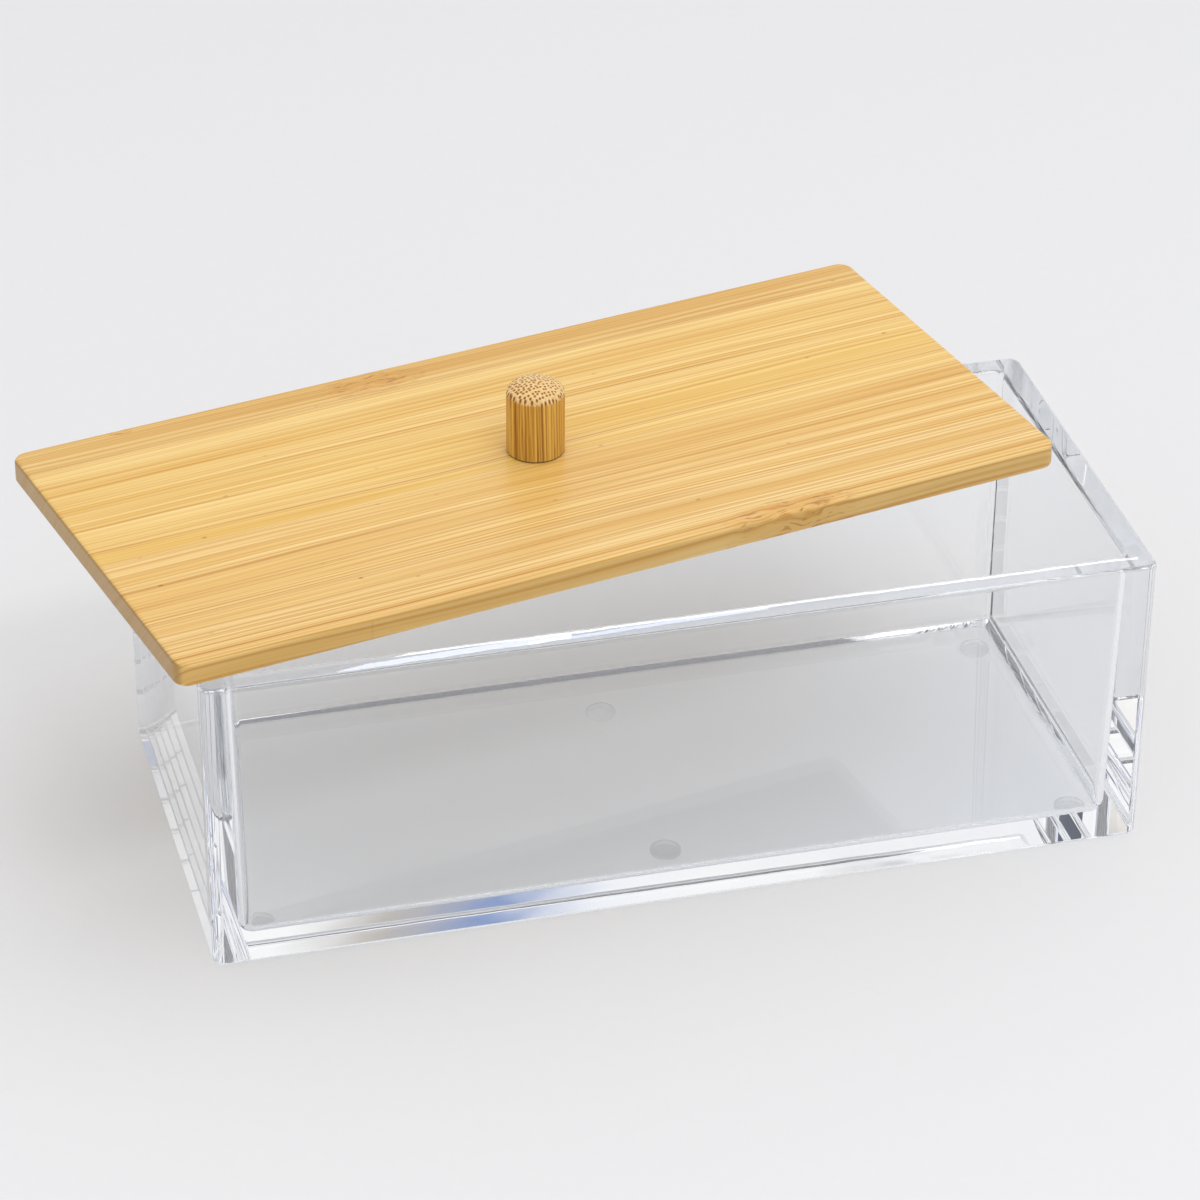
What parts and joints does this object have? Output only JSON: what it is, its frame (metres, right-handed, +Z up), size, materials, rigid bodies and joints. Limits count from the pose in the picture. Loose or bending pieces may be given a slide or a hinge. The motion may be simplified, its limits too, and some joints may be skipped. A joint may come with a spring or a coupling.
{
  "type": "storage box with lid",
  "caption": "Clear rectangular thick-walled storage box with a loose bamboo lid, which lies askew on the rim and lifts off by a round knob.",
  "frame": {"origin": "under the centre of the box's footprint, at the height of the surface that its feet stand on", "axes": "+X along the box's length, +Y from its front to its back, +Z up"},
  "size_m": [0.2225, 0.1338, 0.09],
  "materials": {
    "clear_acrylic": "clear gloss",
    "clear_bumper": "clear soft",
    "bamboo": "satin",
    "bamboo_end_grain": "satin",
    "plated_steel": "satin"
  },
  "bodies": {
    "box": {"box_tub": "clear_acrylic", "bumper_feet": "clear_bumper"},
    "lid_carrier": {"knob_screw": "plated_steel"},
    "lid": {"lid_strip_1": "bamboo", "lid_strip_2": "bamboo", "lid_strip_3": "bamboo", "lid_strip_4": "bamboo", "lid_strip_5": "bamboo", "knob": "bamboo_end_grain"}
  },
  "joints": [
    {"name": "lid_lift", "type": "slide", "parent": "box", "child": "lid_carrier", "axis": [0, 0, 1], "range_m": [0, 0.1]},
    {"name": "lid_turn", "type": "hinge", "parent": "lid_carrier", "child": "lid", "pos_m": [-0.0153, 0.0222, 0.0735], "axis": [0, 0, 1], "range_deg": [-11.96, 78.04]}
  ]
}
